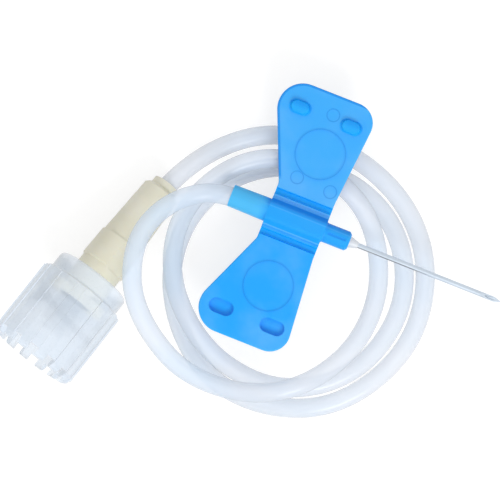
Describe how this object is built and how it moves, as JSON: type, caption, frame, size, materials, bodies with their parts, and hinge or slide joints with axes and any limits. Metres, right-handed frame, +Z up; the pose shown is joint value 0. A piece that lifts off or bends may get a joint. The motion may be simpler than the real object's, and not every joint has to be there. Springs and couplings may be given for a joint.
{
  "type": "winged infusion set",
  "caption": "A short hollow needle in a soft winged hub, joined by loosely coiled clear tubing to a tapered connector that a ribbed cap closes.",
  "frame": {"origin": "middle of the footprint, on the surface that the set lies on, tubing left out", "axes": "+X towards the needle's point, +Y towards the wing with the pegs, +Z up"},
  "size_m": [0.0571, 0.0461, 0.0133],
  "materials": {
    "soft_blue": "smooth",
    "steel": "polished",
    "adhesive": "smooth",
    "clear_tube": "smooth",
    "cream_plastic": "smooth",
    "clear_plastic": "smooth"
  },
  "bodies": {
    "set": {"wing_hub": "soft_blue", "needle_cannula": "steel", "needle_bond": "adhesive", "tubing": "clear_tube", "luer_connector": "cream_plastic"},
    "cap": {"luer_cap": "clear_plastic"}
  },
  "joints": [
    {"name": "cap_pull", "type": "slide", "parent": "set", "child": "cap", "axis": [-0.2666, -0.9421, 0.2036], "range_m": [0, 0.012]}
  ]
}
